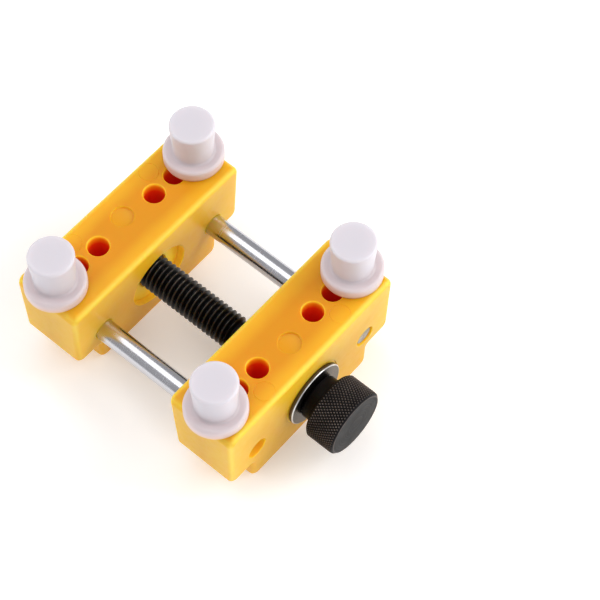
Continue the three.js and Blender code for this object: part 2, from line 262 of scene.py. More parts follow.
def turned_line(
    line: np.ndarray, axis: Axis, centre: tuple[float, float], **options: Any
) -> Shell:
    """Turns a line whose rows are radius and station."""
    return turned(line[:, 0], line[:, 1], axis, centre, **options)


def write_values(mesh: bpy.types.Mesh, name: str, values: np.ndarray) -> None:
    """Paints one number per point on a mesh, under a name that a material reads."""
    layer = mesh.attributes.new(name, "FLOAT", "POINT")
    layer.data.foreach_set("value", values.astype(np.float32))


def mesh_from(shell: Shell, name: str) -> bpy.types.Mesh:
    """Writes a surface into a new mesh, in metres, with every face turned outwards.

    Args:
        shell: The surface in millimetres.
        name: The mesh's name.

    Returns:
        The mesh, smooth, with its painted attributes.
    """
    mesh = bpy.data.meshes.new(name)
    corners = np.concatenate([shell.quads.ravel(), shell.triangles.ravel()]).astype(np.int32)
    sizes = np.concatenate([np.full(len(shell.quads), 4), np.full(len(shell.triangles), 3)])
    starts = np.concatenate([[0], np.cumsum(sizes)[:-1]]).astype(np.int32)
    mesh.vertices.add(len(shell.points))
    mesh.vertices.foreach_set("co", (shell.points * MM).astype(np.float32).ravel())
    mesh.loops.add(len(corners))
    mesh.loops.foreach_set("vertex_index", corners)
    mesh.polygons.add(len(sizes))
    mesh.polygons.foreach_set("loop_start", starts)
    mesh.update(calc_edges=True)
    for key, value in shell.paint.items():
        write_values(mesh, key, value)
    editing = bmesh.new()
    editing.from_mesh(mesh)
    bmesh.ops.recalc_face_normals(editing, faces=editing.faces)
    editing.to_mesh(mesh)
    editing.free()
    mesh.validate()
    return mesh


def cut_out(solid: bpy.types.Object, tools: Shell) -> None:
    """Takes the tools' volume away from a solid, and keeps the result as the solid's mesh.

    Args:
        solid: The object that is cut.
        tools: The closed surfaces whose inside is taken away.
    """
    cutter = bpy.data.objects.new("cutter", mesh_from(tools, "cutter"))
    bpy.context.scene.collection.objects.link(cutter)
    step = solid.modifiers.new("cut", "BOOLEAN")
    step.operation, step.object, step.solver = "DIFFERENCE", cutter, "EXACT"
    bpy.context.view_layer.update()
    graph = bpy.context.evaluated_depsgraph_get()
    result = bpy.data.meshes.new_from_object(solid.evaluated_get(graph))
    solid.modifiers.clear()
    solid.data = result
    bpy.data.objects.remove(cutter)


@dataclass(frozen=True)
class Place:
    """Where a finished piece goes.

    Args:
        name: The piece's name.
        body: The frame body it rides on.
        node: The frame node it stands for.
        slot: A material slot's name; not used.
    """

    name: str
    body: str
    node: str
    slot: str


def smooth_off(piece: bpy.types.Object, sharp_degrees: float = 38.0) -> None:
    """Shades a piece smooth but for its sharp edges, and lets big faces set the normals.

    Args:
        piece: The piece.
        sharp_degrees: The angle past which an edge stays crisp.
    """
    piece.data.shade_smooth()
    piece.data.set_sharp_from_angle(angle=math.radians(sharp_degrees))
    weighted = piece.modifiers.new("even_normals", "WEIGHTED_NORMAL")
    weighted.keep_sharp = True
    weighted.weight = 80


def finish_piece(piece: bpy.types.Object, place: Place, material: bpy.types.Material) -> None:
    """Dresses a piece and puts it on the frame in place of its node.

    Args:
        piece: The piece.
        place: Where it goes.
        material: Its finish.
    """
    piece.data.materials.clear()
    piece.data.materials.append(material)
    smooth_off(piece)
    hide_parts(place.node)
    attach(piece, place.body)
    LOG.info("%s: %d faces on %s", piece.name, len(piece.data.polygons), place.body)


def new_piece(shell: Shell, name: str) -> bpy.types.Object:
    """Makes an object of a surface, at the origin.

    Args:
        shell: The surface, in millimetres.
        name: The object's name.

    Returns:
        The object.
    """
    piece = bpy.data.objects.new(name, mesh_from(shell, name))
    bpy.context.scene.collection.objects.link(piece)
    return piece


# ---------------------------------------------------------------- finishes


def linear(hex_colour: str) -> tuple[float, float, float, float]:
    """Turns an sRGB hex colour into linear light.

    Args:
        hex_colour: A colour as "#RRGGBB".

    Returns:
        Red, green and blue light, and full cover.
    """
    channels = np.array([int(hex_colour[i : i + 2], 16) for i in (1, 3, 5)]) / 255
    light = np.where(channels <= 0.04045, channels / 12.92, ((channels + 0.055) / 1.055) ** 2.4)
    return (*light.tolist(), 1.0)


def add_node(
    tree: bpy.types.NodeTree,
    kind: str,
    links: dict[str | int, Any] | None = None,
    stops: Sequence[tuple[float, str]] = (),
    **settings: Any,
) -> bpy.types.Node:
    """Adds a shader node.

    Args:
        tree: The material's tree.
        kind: The node's type, after "ShaderNode".
        links: Input name or number to the socket that feeds it, or to its value.
        stops: A colour ramp's positions and hex colours.
        **settings: Properties of the node.

    Returns:
        The node.
    """
    node = tree.nodes.new("ShaderNode" + kind)
    for name, value in settings.items():
        setattr(node, name, value)
    for key, value in (links or {}).items():
        if isinstance(value, bpy.types.NodeSocket):
            tree.links.new(value, node.inputs[key])
        else:
            node.inputs[key].default_value = value
    for index, (position, colour) in enumerate(stops):
        ramp = node.color_ramp.elements
        stop = ramp[index] if index < 2 else ramp.new(position)
        stop.position, stop.color = position, linear(colour)
    return node


def new_material(name: str) -> tuple[bpy.types.Material, bpy.types.NodeTree]:
    """Makes an empty material.

    Args:
        name: The real material and how it was made.

    Returns:
        The material and its tree.
    """
    material = bpy.data.materials.new(name)
    material.use_nodes = True
    material.node_tree.nodes.clear()
    return material, material.node_tree


def close_material(tree: bpy.types.NodeTree, shader: bpy.types.Node) -> None:
    """Links the finished shader to the material's output."""
    add_node(tree, "OutputMaterial", {"Surface": shader.outputs[0]})


@dataclass(frozen=True)
class AmberNylon:
    """Injection-moulded translucent nylon, amber yellow.

    Light enters it and comes back warmer. Its colour is painted with that look and the light round
    it: a painted yellow highlight along every edge; the middle of each face darker and more orange,
    partly for its thickness and partly as painted shade; and holes that turn red as they deepen, as
    painted shade with a painted glow. The mould leaves a satin skin with a faint orange peel.

    Args:
        middle_y: Middle of the jaw's depth, in millimetres.
        edge_highlight_hex: Colour of the painted highlight along an edge.
        top_tone_and_shade_hexes: Top colours near an edge and in the painted shade of the middle.
        side_tone_and_shade_hexes: Side colours near an edge and in the painted shade of the middle.
        hollow_shade_and_glow_hexes: A hole's painted shade and glow, mouth first, by share of
            depth.
        half_length: Half the block's length.
        half_depth: Half the block's depth.
        edge_width: How far in the painted highlight of an edge reaches.
        reaches: How far in from an edge the top and the sides go on darkening, in painted shade.
        peel_size: Size of the orange peel.
        grain_size: Size of the fine grain.
        cloud_size: Size of the faint clouds where the melt flowed together.
        highlight_most: Share of the painted highlight's colour on the edge itself.
        mouth_share: Share of a hole's depth over which its colour takes over from the face's.
        hollow_glow_stops: Painted glow for the light the body passes into a hole, by share of
            depth.
    """

    middle_y: float
    edge_highlight_hex: str = "#FBE060"
    top_tone_and_shade_hexes: tuple[str, str] = ("#F0B822", "#E0960F")
    side_tone_and_shade_hexes: tuple[str, str] = ("#EBBB28", "#DFA71A")
    hollow_shade_and_glow_hexes: tuple[tuple[float, str], ...] = (
        (0.0, "#FFD43C"),
        (0.1, "#F8A016"),
        (0.28, "#F4480C"),
        (1.0, "#EE2222"),
    )
    half_length: float = 25.7
    half_depth: float = 8.5
    edge_width: float = 1.5
    reaches: tuple[float, float] = (6.5, 13.0)
    peel_size: float = 1.6
    grain_size: float = 0.22
    cloud_size: float = 9.0
    highlight_most: float = 0.85
    mouth_share: float = 0.02
    hollow_glow_stops: tuple[tuple[float, str], ...] = (
        (0.0, "#000000"),
        (0.015, "#686868"),
        (0.1, "#323232"),
        (1.0, "#2C2C2C"),
    )

    def make(self) -> bpy.types.Material:
        """Builds the material.

        The face's colour runs from a painted highlight at the edge to painted shade in the middle,
        by the distance to the nearest edge, with clouds added; the top has its own pair of colours,
        as painted light for the way it faces. Inside a hole its own ramp of painted shade takes
        over, by the painted attribute "hollow", and glows as painted light.

        Returns:
            The material.
        """
        material, tree = new_material("amber_nylon_moulded")
        place = add_node(tree, "TexCoord").outputs["Object"]
        inward = self.from_edge(tree, place)
        # Painted highlight: the edge colour is mixed in near every edge.
        edge_highlight_share = add_node(
            tree,
            "MapRange",
            {
                "Value": inward,
                "From Min": 0.0,
                "From Max": self.edge_width * MM,
                "To Min": self.highlight_most,
                "To Max": 0.0,
            },
            interpolation_type="SMOOTHSTEP",
        )
        flow = add_node(
            tree, "TexNoise", {"Vector": place, "Scale": 1 / (self.cloud_size * MM), "Detail": 2.0}
        )
        # Painted shade: each face darkens from its edge to its middle, partly for the thickness.
        faces = []
        for reach, hexes in zip(self.reaches, (self.top_tone_and_shade_hexes, self.side_tone_and_shade_hexes)):
            depth = add_node(
                tree,
                "MapRange",
                {"Value": inward, "From Min": 0.0, "From Max": reach * MM},
                interpolation_type="SMOOTHSTEP",
            )
            clouded = add_node(
                tree,
                "Math",
                {0: flow.outputs["Fac"], 1: 0.3, 2: depth.outputs[0]},
                operation="MULTIPLY_ADD",
            )
            tone = add_node(
                tree,
                "ValToRGB",
                {"Fac": clouded.outputs[0]},
                stops=[(0.15, hexes[0]), (1.0, hexes[1])],
            )
            faces.append(tone.outputs["Color"])
        # Painted light: faces that look up take the top's colours, the sides take their own.
        normal = add_node(tree, "SeparateXYZ", {0: add_node(tree, "NewGeometry").outputs["Normal"]})
        upward = add_node(
            tree, "MapRange", {"Value": normal.outputs[2], "From Min": 0.4, "From Max": 0.9}
        )
        body = add_node(
            tree, "Mix", {0: upward.outputs[0], 6: faces[1], 7: faces[0]}, data_type="RGBA"
        )
        edged = add_node(
            tree,
            "Mix",
            {0: edge_highlight_share.outputs[0], 6: body.outputs[2], 7: linear(self.edge_highlight_hex)},
            data_type="RGBA",
        )
        # Painted shade in the holes: light yellow at the mouth, turning red deeper down.
        hollow = add_node(tree, "Attribute", attribute_name="hollow")
        sunk = add_node(tree, "ValToRGB", {"Fac": hollow.outputs["Fac"]}, stops=self.hollow_shade_and_glow_hexes)
        inside = add_node(
            tree,
            "MapRange",
            {"Value": hollow.outputs["Fac"], "From Min": 0.0, "From Max": self.mouth_share},
        )
        colour = add_node(
            tree,
            "Mix",
            {0: inside.outputs[0], 6: edged.outputs[2], 7: sunk.outputs["Color"]},
            data_type="RGBA",
        )
        # Painted glow: the holes' colour is given off as light, strongest just inside the mouth.
        hollow_glow = add_node(tree, "ValToRGB", {"Fac": hollow.outputs["Fac"]}, stops=self.hollow_glow_stops)
        peel = add_node(
            tree, "TexNoise", {"Vector": place, "Scale": 1 / (self.peel_size * MM), "Detail": 2.0}
        )
        grain = add_node(
            tree, "TexNoise", {"Vector": place, "Scale": 1 / (self.grain_size * MM), "Detail": 2.0}
        )
        skin = add_node(
            tree,
            "Bump",
            {"Height": peel.outputs["Fac"], "Strength": 0.3, "Distance": 0.05 * MM},
        )
        fine = add_node(
            tree,
            "Bump",
            {
                "Height": grain.outputs["Fac"],
                "Strength": 0.25,
                "Distance": 0.008 * MM,
                "Normal": skin.outputs["Normal"],
            },
        )
        gloss = add_node(
            tree,
            "MapRange",
            {
                "Value": peel.outputs["Fac"],
                "From Min": 0.3,
                "From Max": 0.7,
                "To Min": 0.3,
                "To Max": 0.4,
            },
        )
        shader = add_node(
            tree,
            "BsdfPrincipled",
            {
                "Base Color": colour.outputs[2],
                "Roughness": gloss.outputs[0],
                "IOR": MOULDED_IOR,
                "Specular IOR Level": 0.2,
                "Subsurface Weight": 0.75,
                "Subsurface Radius": (1.0, 0.42, 0.1),
                "Subsurface Scale": 3.5 * MM,
                "Emission Color": sunk.outputs["Color"],
                "Emission Strength": hollow_glow.outputs["Color"],
                "Normal": fine.outputs["Normal"],
            },
        )
        close_material(tree, shader)
        return material

    def from_edge(
        self, tree: bpy.types.NodeTree, place: bpy.types.NodeSocket
    ) -> bpy.types.NodeSocket:
        """Measures how far a spot is from the nearest edge of the block.

        The distances to the end, to the nearer long face and to the top are taken. On a face one
        of them is nothing, so the middle one of the three is the distance to the nearest edge.

        Args:
            tree: The material's tree.
            place: The spot's place.

        Returns:
            A socket that gives the distance.
        """
        axes = add_node(tree, "SeparateXYZ", {0: place}).outputs
        across = add_node(tree, "Math", {0: axes[1], 1: -self.middle_y * MM}, operation="ADD")
        spans = (
            (self.half_length, axes[0]),
            (self.half_depth, across.outputs[0]),
            (JAW_TOP, axes[2]),
        )
        distances = []
        for limit, spot in spans:
            size = add_node(tree, "Math", {0: spot}, operation="ABSOLUTE").outputs[0]
            gap = add_node(tree, "Math", {0: limit * MM, 1: size}, operation="SUBTRACT")
            distances.append(gap.outputs[0])
        end, side, top = distances
        low = add_node(tree, "Math", {0: end, 1: side}, operation="MINIMUM").outputs[0]
        high = add_node(tree, "Math", {0: end, 1: side}, operation="MAXIMUM").outputs[0]
        capped = add_node(tree, "Math", {0: high, 1: top}, operation="MINIMUM").outputs[0]
        return add_node(tree, "Math", {0: low, 1: capped}, operation="MAXIMUM").outputs[0]


@dataclass(frozen=True)
class WhiteNylon:
    """Natural white nylon, moulded, with a milky depth.

    The head is a cool lilac white. The flange has a warm blush, stronger towards its foot:
    painted light, for the amber jaw's light that shows through the thin flange and bounces on
    to it. The head's root is a little darker and warmer, as painted shade; the pin below it is
    plain.

    Args:
        span: Lowest and highest level of the colour change, in millimetres.
        level_stops: Shares of that span and their colours: pin, the flange's foot in painted blush,
        the flange, the head's root in painted shade, and the head.
        cloud_share: How much the colour's levels wander.
    """

    span: tuple[float, float] = (JAW_TOP - 1, JAW_TOP + 12)
    level_stops: tuple[tuple[float, str], ...] = (
        (0.07, "#D3C9CC"),
        (0.11, "#E8BC92"),
        (0.19, "#DEC9C8"),
        (0.36, "#D3C9CC"),
        (0.63, "#D8D3D9"),
    )
    cloud_share: float = 0.06

    def make(self) -> bpy.types.Material:
        """Builds the material: the colour follows the height, and a fine skin breaks the gloss."""
        material, tree = new_material("white_nylon_moulded")
        place = add_node(tree, "TexCoord").outputs["Object"]
        height = add_node(tree, "SeparateXYZ", {0: place}).outputs[2]
        cloud = add_node(tree, "TexNoise", {"Vector": place, "Scale": 1 / (4 * MM), "Detail": 2.0})
        share = add_node(
            tree,
            "MapRange",
            {"Value": height, "From Min": self.span[0] * MM, "From Max": self.span[1] * MM},
        )
        blurred = add_node(
            tree,
            "Math",
            {0: cloud.outputs["Fac"], 1: self.cloud_share, 2: share.outputs[0]},
            operation="MULTIPLY_ADD",
        )
        # Painted light: the blush at the flange's foot; painted shade at the head's root.
        colour = add_node(tree, "ValToRGB", {"Fac": blurred.outputs[0]}, stops=self.level_stops)
        skin = add_node(tree, "TexNoise", {"Vector": place, "Scale": 1 / (0.5 * MM), "Detail": 3.0})
        bump = add_node(
            tree, "Bump", {"Height": skin.outputs["Fac"], "Strength": 0.2, "Distance": 0.02 * MM}
        )
        gloss = add_node(
            tree, "MapRange", {"Value": skin.outputs["Fac"], "To Min": 0.36, "To Max": 0.5}
        )
        shader = add_node(
            tree,
            "BsdfPrincipled",
            {
                "Base Color": colour.outputs["Color"],
                "Roughness": gloss.outputs[0],
                "IOR": MOULDED_IOR,
                "Subsurface Weight": 0.6,
                "Subsurface Radius": (1.0, 0.85, 0.8),
                "Subsurface Scale": 3.0 * MM,
                "Normal": bump.outputs["Normal"],
            },
        )
        close_material(tree, shader)
        return material


@dataclass(frozen=True)
class TurnedMetal:
    """Metal turned on a lathe: fine rings round the axis break up its shine.

    Args:
        name: What the metal is and how its surface was made.
        hex_colour: Its colour where the tool or a coating left it.
        wear_and_light_hex: Its colour by the painted attribute "crest": rubbed wear on a thread,
        painted highlight on a knurl, a lip and a rim, painted shade on a rod's ends.
        centre: x and z of its axis, in millimetres.
        metallic: How much it is bare metal.
        rough: Lowest and highest roughness.
        ring: Spacing of the rings in millimetres, coarser than real so that they show.
        ring_depth: Depth of the rings in millimetres.
        specular: Strength of the coating's own reflection, where it isn't bare metal.
    """

    name: str
    hex_colour: str
    wear_and_light_hex: str
    centre: tuple[float, float] = (0.0, AXIS_Z)
    metallic: float = 1.0
    rough: tuple[float, float] = (0.18, 0.32)
    ring: float = 0.16
    ring_depth: float = 0.004
    specular: float = 0.5

    def make(self) -> bpy.types.Material:
        """Builds the material: noise over the radius and the station makes the turned rings."""
        material, tree = new_material(self.name)
        place = add_node(tree, "TexCoord").outputs["Object"]
        centred = add_node(
            tree,
            "Mapping",
            {"Vector": place, "Location": (-self.centre[0] * MM, 0, -self.centre[1] * MM)},
        )
        axes = add_node(tree, "SeparateXYZ", {0: centred.outputs[0]}).outputs
        flat = add_node(tree, "CombineXYZ", {0: axes[0], 1: axes[2]})
        radius = add_node(tree, "VectorMath", {0: flat.outputs[0]}, operation="LENGTH")
        rings_at = add_node(tree, "CombineXYZ", {0: radius.outputs["Value"], 1: axes[1]})
        rings = add_node(
            tree,
            "TexNoise",
            {"Vector": rings_at.outputs[0], "Scale": 1 / (self.ring * MM), "Detail": 2.0},
        )
        smudge = add_node(tree, "TexNoise", {"Vector": place, "Scale": 1 / (3 * MM), "Detail": 4.0})
        # By "crest": rubbed wear on the screw, painted highlights on the knob and washers, painted
        # shade on the rods' ends.
        crest = add_node(tree, "Attribute", attribute_name="crest")
        wear_and_light = add_node(
            tree, "Math", {0: crest.outputs["Fac"], 1: smudge.outputs["Fac"]}, operation="MULTIPLY"
        )
        colour = add_node(
            tree,
            "Mix",
            {0: wear_and_light.outputs[0], 6: linear(self.hex_colour), 7: linear(self.wear_and_light_hex)},
            data_type="RGBA",
        )
        mixed = add_node(
            tree,
            "Mix",
            {0: 0.4, 2: rings.outputs["Fac"], 3: smudge.outputs["Fac"]},
            data_type="FLOAT",
        )
        gloss = add_node(
            tree,
            "MapRange",
            {
                "Value": mixed.outputs[0],
                "From Min": 0.3,
                "From Max": 0.7,
                "To Min": self.rough[0],
                "To Max": self.rough[1],
            },
        )
        bump = add_node(
            tree,
            "Bump",
            {"Height": rings.outputs["Fac"], "Strength": 0.5, "Distance": self.ring_depth * MM},
        )
        shader = add_node(
            tree,
            "BsdfPrincipled",
            {
                "Base Color": colour.outputs[2],
                "Metallic": self.metallic,
                "Roughness": gloss.outputs[0],
                "Specular IOR Level": self.specular,
                "Normal": bump.outputs["Normal"],
            },
        )
        close_material(tree, shader)
        return material


@dataclass(frozen=True)
class StudioPaper:
    """Matt white background paper: its fibre only just breaks up the tone.

    Args:
        fibre_hexes: Its darkest and lightest white.
        bounce: Light it gives off, in place of the light that bounces about a real studio.
    """

    fibre_hexes: tuple[str, str] = ("#F8F8F8", "#FDFDFD")
    bounce: float = 0.22

    def make(self) -> bpy.types.Material:
        """Builds the material."""
        material, tree = new_material("studio_paper_matt")
        place = add_node(tree, "TexCoord").outputs["Object"]
        fibre = add_node(
            tree, "TexNoise", {"Vector": place, "Scale": 1 / (1.5 * MM), "Detail": 2.0}
        )
        tone = add_node(
            tree,
            "ValToRGB",
            {"Fac": fibre.outputs["Fac"]},
            stops=list(zip((0.2, 0.8), self.fibre_hexes)),
        )
        shader = add_node(
            tree,
            "BsdfPrincipled",
            {
                "Base Color": tone.outputs["Color"],
                "Roughness": 0.95,
                "Emission Color": linear("#FFFFFF"),
                "Emission Strength": self.bounce,
            },
        )
        close_material(tree, shader)
        return material


# ---------------------------------------------------------------- jaws


@dataclass(frozen=True)
class RimTool:
    """Profile pieces of a cutter whose mouth rounds over into the face it opens.

    Args:
        rounding: Radius of the rim.
        sweep_degrees: How far the rim's arc goes before it runs straight out of the face.
        steps: Rows of the arc.
    """

    rounding: float = 0.36
    sweep_degrees: float = 76.0
    steps: int = 5

    def mouth(self, radius: float, face: float, outward: float, slope: float) -> np.ndarray:
        """Gives the rows from outside the face to the start of the wall.

        At angle b the radius is wall + rounding (1 - cos b) and the depth is rounding (1 - sin b).

        Args:
            radius: The wall's radius.
            face: Station of the face.
            outward: +1 or -1, the way out of the material along the axis.
            slope: The face's slope.

        Returns:
            Rows of radius, station and slope, outermost first.
        """
        bend = np.radians(np.linspace(self.sweep_degrees, 0, self.steps))
        arc = radius + self.rounding * (1 - np.cos(bend))
        depth = self.rounding * (1 - np.sin(bend))
        run = self.rounding * 1.2
        outer_radius = arc[0] + run * math.sin(bend[0])
        outer_depth = depth[0] - run * math.cos(bend[0])
        radii = np.concatenate([[outer_radius, outer_radius], arc])
        depths = np.concatenate([[outer_depth - 1.5, outer_depth], depth])
        return np.stack([radii, face - outward * depths, np.full_like(radii, slope)], -1)


@dataclass
class Jaw:
    """One moulded jaw: a bar with a keel under its middle, bored for pegs, rods and screw.

    Args:
        place: Where the piece goes.
        row_y: Station of its peg row.
        toward: +1 if its inner face looks to +Y, -1 if to -Y.
        insert_depths: Depths behind the rear face of the flange's seat and the insert's end.
        inner_recess: Depth of the clearance round the screw in the rear jaw's inner face.
        gate: Radius, depth and offset from the peg row of the gate's mark.
        ejector: Radius, place across and offset from the peg row of the ejector pins' marks.
        bore_fade: Millimetres into a bore that count as its whole depth in the painted values.
        bore_most: Highest painted value in a bore.
    """

    place: Place
    row_y: float
    toward: int
    length: float = 51.4
    foot_level: float = 7.5
    keel_length: float = 37.8
    row_to_outer: float = 7.7
    row_to_inner: float = 9.3
    edge_round: float = 1.2
    corner_round: float = 2.0
    root_round: float = 0.8
    draft_outer: float = 0.026
    draft_inner: float = 0.06
    draft_ends: float = 0.01
    peg_holes: tuple[float, ...] = (-PEG_X, -15.05, -8.7, 8.7, 15.05, PEG_X)
    hole_radius: float = 2.4
    hole_depth: float = 10.0
    rod_bore: float = 2.55
    shank_bore: float = 4.15
    thread_bore: float = 4.3
    insert_bore: float = 5.7
    flange_bore: float = 7.3
    insert_depths: tuple[float, float] = (0.6, 10.6)
    inner_recess: float = 2.0
    seat_radius: float = 8.0
    gate: tuple[float, float, float] = (2.5, 0.5, 1.2)
    ejector: tuple[float, float, float] = (2.2, 11.9, 4.6)
    mark_width: float = 0.13
    bore_fade: float = 60.0
    bore_most: float = 0.02

    @property
    def outer_y(self) -> float:
        """Station of the outer face at the top."""
        return self.row_y - self.toward * self.row_to_outer

    @property
    def inner_y(self) -> float:
        """Station of the inner face at the top."""
        return self.row_y + self.toward * self.row_to_inner

    def outline(self) -> np.ndarray:
        """Front view of the jaw, corners rounded, as rows of x and z."""
        half, keel = self.length / 2, self.keel_length / 2
        left = [
            (-half, JAW_TOP, self.corner_round),
            (-half, self.foot_level, self.corner_round),
            (-keel, self.foot_level, self.root_round),
            (-keel, 0.0, self.corner_round),
        ]
        right = [(-x, z, radius) for x, z, radius in reversed(left)]
        return rounded(left + right, closed=True, steps=8)

    def block(self) -> Shell:
        """Carries the outline through the jaw's depth.

        Over each long edge the outline shrinks by edge_round (1 - sin a) while the station moves
        edge_round (1 - cos a) in from the face, for a from 0 to a right angle. The draft is added
        last.
        """
        line = self.outline()
        along = np.roll(line, -1, 0) - np.roll(line, 1, 0)
        along /= np.linalg.norm(along, axis=1, keepdims=True)
        outward = np.stack([-along[:, 1], along[:, 0]], -1)
        if np.sum(outward * (line - line.mean(0))) < 0:
            outward = -outward
        bend = np.linspace(0, math.pi / 2, 9)
        shrink = self.edge_round * (1 - np.sin(bend))
        sink = self.edge_round * (1 - np.cos(bend))
        depth = self.row_to_outer + self.row_to_inner
        inset = np.concatenate([shrink, shrink[::-1]])
        station = np.concatenate([sink, depth - sink[::-1]])
        flat = line[None] - outward[None] * inset[:, None, None]
        rings = np.empty((len(inset), len(line), 3))
        rings[..., 0], rings[..., 2] = flat[..., 0], flat[..., 1]
        rings[..., 1] = (self.outer_y + self.toward * station)[:, None]
        shell = ring_shell(rings, Ends.POLES)
        return Shell(self.drafted(shell.points), shell.quads, shell.triangles)

    def drafted(self, points: np.ndarray) -> np.ndarray:
        """Leans every side inwards by its draft times the drop below the top.

        Args:
            points: Rows of x, y, z.

        Returns:
            The same rows, leant.
        """
        drop = JAW_TOP - points[:, 2]
        share = (points[:, 1] - self.outer_y) / (self.inner_y - self.outer_y)
        lean = self.draft_outer * (1 - share) - self.draft_inner * share
        leant = points.copy()
        leant[:, 1] += self.toward * drop * lean
        leant[:, 0] *= 1 - self.draft_ends * drop / (self.length / 2)
        return leant

    def top_tool(self, x: float, y: float, radius: float, depth: float, rim: RimTool) -> Shell:
        """A blind cutter from the top face, with a rounded mouth and a soft bottom corner.

        Args:
            x: Place of its axis across the jaw.
            y: Station of its axis.
            radius: The wall's radius.
            depth: How deep it goes.
            rim: The rounding of its mouth.

        Returns:
            The cutter.
        """
        mouth = rim.mouth(radius, JAW_TOP, 1.0, 0.0)[:, :2]
        floor, soft = JAW_TOP - depth, min(0.3, depth / 3)
        wall = np.linspace(JAW_TOP - rim.rounding, floor + soft, 12)[1:]
        bend = np.radians(np.linspace(0, 90, 4))[1:]
        corner = np.stack(
            [radius - soft * (1 - np.cos(bend)), floor + soft * (1 - np.sin(bend))], -1
        )
        line = np.vstack([mouth, np.stack([np.full_like(wall, radius), wall], -1), corner])
        return turned_line(line, Axis.Z, (x, y), segments=48)

    def through_tool(
        self, x: float, steps: Sequence[tuple[float, float]], segments: int = 96
    ) -> Shell:
        """A cutter right through the jaw, with a rounded mouth on each face.

        Args:
            x: Where its axis is.
            steps: Radius and the station where that radius ends, from the outer face inwards.
            segments: Points per ring.

        Returns:
            The cutter.
        """
        rim = RimTool(rounding=0.2)
        outer = self.row_y - self.toward * OUTER_FACE
        inner = self.row_y + self.toward * INNER_FACE
        rows = [rim.mouth(steps[0][0], outer, -self.toward, -self.toward * self.draft_outer)]
        for (radius, stop), (following, _) in zip(steps, steps[1:]):
            rows.append(np.array([[radius, stop, 0.0], [following, stop, 0.0]]))
        last = rim.mouth(steps[-1][0], inner, self.toward, self.toward * self.draft_inner)
        rows.append(last[::-1])
        table = np.vstack(rows)
        return turned(
            table[:, 0],
            table[:, 1],
            Axis.Y,
            (x, AXIS_Z),
            segments=segments,
            lean=table[:, 2],
        )

    def ring_mark(self, x: float, y: float, z: float, radius: float) -> Shell:
        """A hair-thin ring groove that an ejector pin leaves: a small circle carried round.

        Args:
            x: Place of the pin across the jaw.
            y: Station of the pin.
            z: Level of the face.
            radius: The pin's radius.

        Returns:
            The cutter.
        """
        bend = np.arange(8) * (2 * math.pi / 8)
        width = self.mark_width
        line = np.stack([radius + width * np.cos(bend), z + 0.05 + width * np.sin(bend)], -1)
        return turned_line(line, Axis.Z, (x, y), ends=Ends.JOINED, segments=40)

    def tools(self) -> Shell:
        """Everything that is cut out of the block."""
        radius, depth, offset = self.gate
        pin_radius, pin_x, pin_offset = self.ejector
        cuts = [
            self.top_tool(x, self.row_y, self.hole_radius, self.hole_depth, RimTool())
            for x in self.peg_holes
        ]
        gate_y = self.row_y - self.toward * offset
        cuts.append(self.top_tool(0.0, gate_y, radius, depth, RimTool(rounding=0.14)))
        for side in (-1, 1):
            mark_y = self.row_y - self.toward * pin_offset
            cuts.append(self.ring_mark(side * pin_x, mark_y, JAW_TOP, pin_radius))
            cuts.append(self.through_tool(side * ROD_X, [(self.rod_bore, 0.0)], 56))
        cuts.append(self.through_tool(0.0, self.centre_steps()))
        return joined(cuts)

    def centre_steps(self) -> list[tuple[float, float]]:
        """Radii and stations of the bore for the screw, outer face first."""
        seat = self.seat_radius
        if self.toward > 0:
            return [(seat, FRONT_SEAT_Y), (self.shank_bore, INNER_SEAT_Y), (seat, 0.0)]
        flange_seat, insert_end = self.insert_depths
        return [
            (self.flange_bore, REAR_FACE_Y - flange_seat),
            (self.insert_bore, REAR_FACE_Y - insert_end),
            (self.thread_bore, REAR_ROW - INNER_FACE + self.inner_recess),
            (seat, 0.0),
        ]

    def paint_hollows(self, mesh: bpy.types.Mesh) -> None:
        """Paints how deep in a hole each point is.

        In a peg hole the value is the depth over the hole's depth. In a bore it is the distance
        from the nearer face over bore_fade, and no more than bore_most. The gate's mark gets a
        tenth of that, just enough to tint it with the holes' painted shade and glow.

        Args:
            mesh: The cut jaw's mesh.
        """
        spots = np.empty(len(mesh.vertices) * 3, np.float32)
        mesh.vertices.foreach_get("co", spots)
        x, y, z = (spots.reshape(-1, 3) / MM).T
        value = np.zeros(len(x))
        drop = JAW_TOP - z
        # The margins take in a hole's rounded mouth and floor, but not the face round them.
        for hole in self.peg_holes:
            near = np.hypot(x - hole, y - self.row_y) < self.hole_radius + 0.28
            inside = near & (drop > 0.03) & (drop < self.hole_depth + 0.1)
            value = np.where(inside, drop / self.hole_depth, value)
        # The gate's mark and the bores take a little of the holes' painted shade and glow.
        gate_radius, _, gate_offset = self.gate
        near = np.hypot(x, y - self.row_y + self.toward * gate_offset) < gate_radius + 0.05
        value = np.where(near & (drop > 0.1) & (drop < 1), self.bore_most / 10, value)
        low, high = sorted((self.outer_y, self.inner_y))
        edge = np.minimum(y - low, high - y)
        in_bore = np.clip(edge / self.bore_fade, 0.0, self.bore_most)
        bores = (
            (-ROD_X, self.rod_bore + 0.1),
            (ROD_X, self.rod_bore + 0.1),
            (0.0, self.seat_radius + 0.05),
        )
        for bore, reach in bores:
            value = np.where(np.hypot(x - bore, z - AXIS_Z) < reach, in_bore, value)
        write_values(mesh, "hollow", value)

    def build(self) -> bpy.types.Object:
        """Makes the jaw and puts it on the frame.

        Returns:
            The piece.
        """
        piece = new_piece(self.block(), self.place.name)
        cut_out(piece, self.tools())
        self.paint_hollows(piece.data)
        finish_piece(piece, self.place, AmberNylon((self.outer_y + self.inner_y) / 2).make())
        return piece


# ---------------------------------------------------------------- pegs, rods, screw and knob


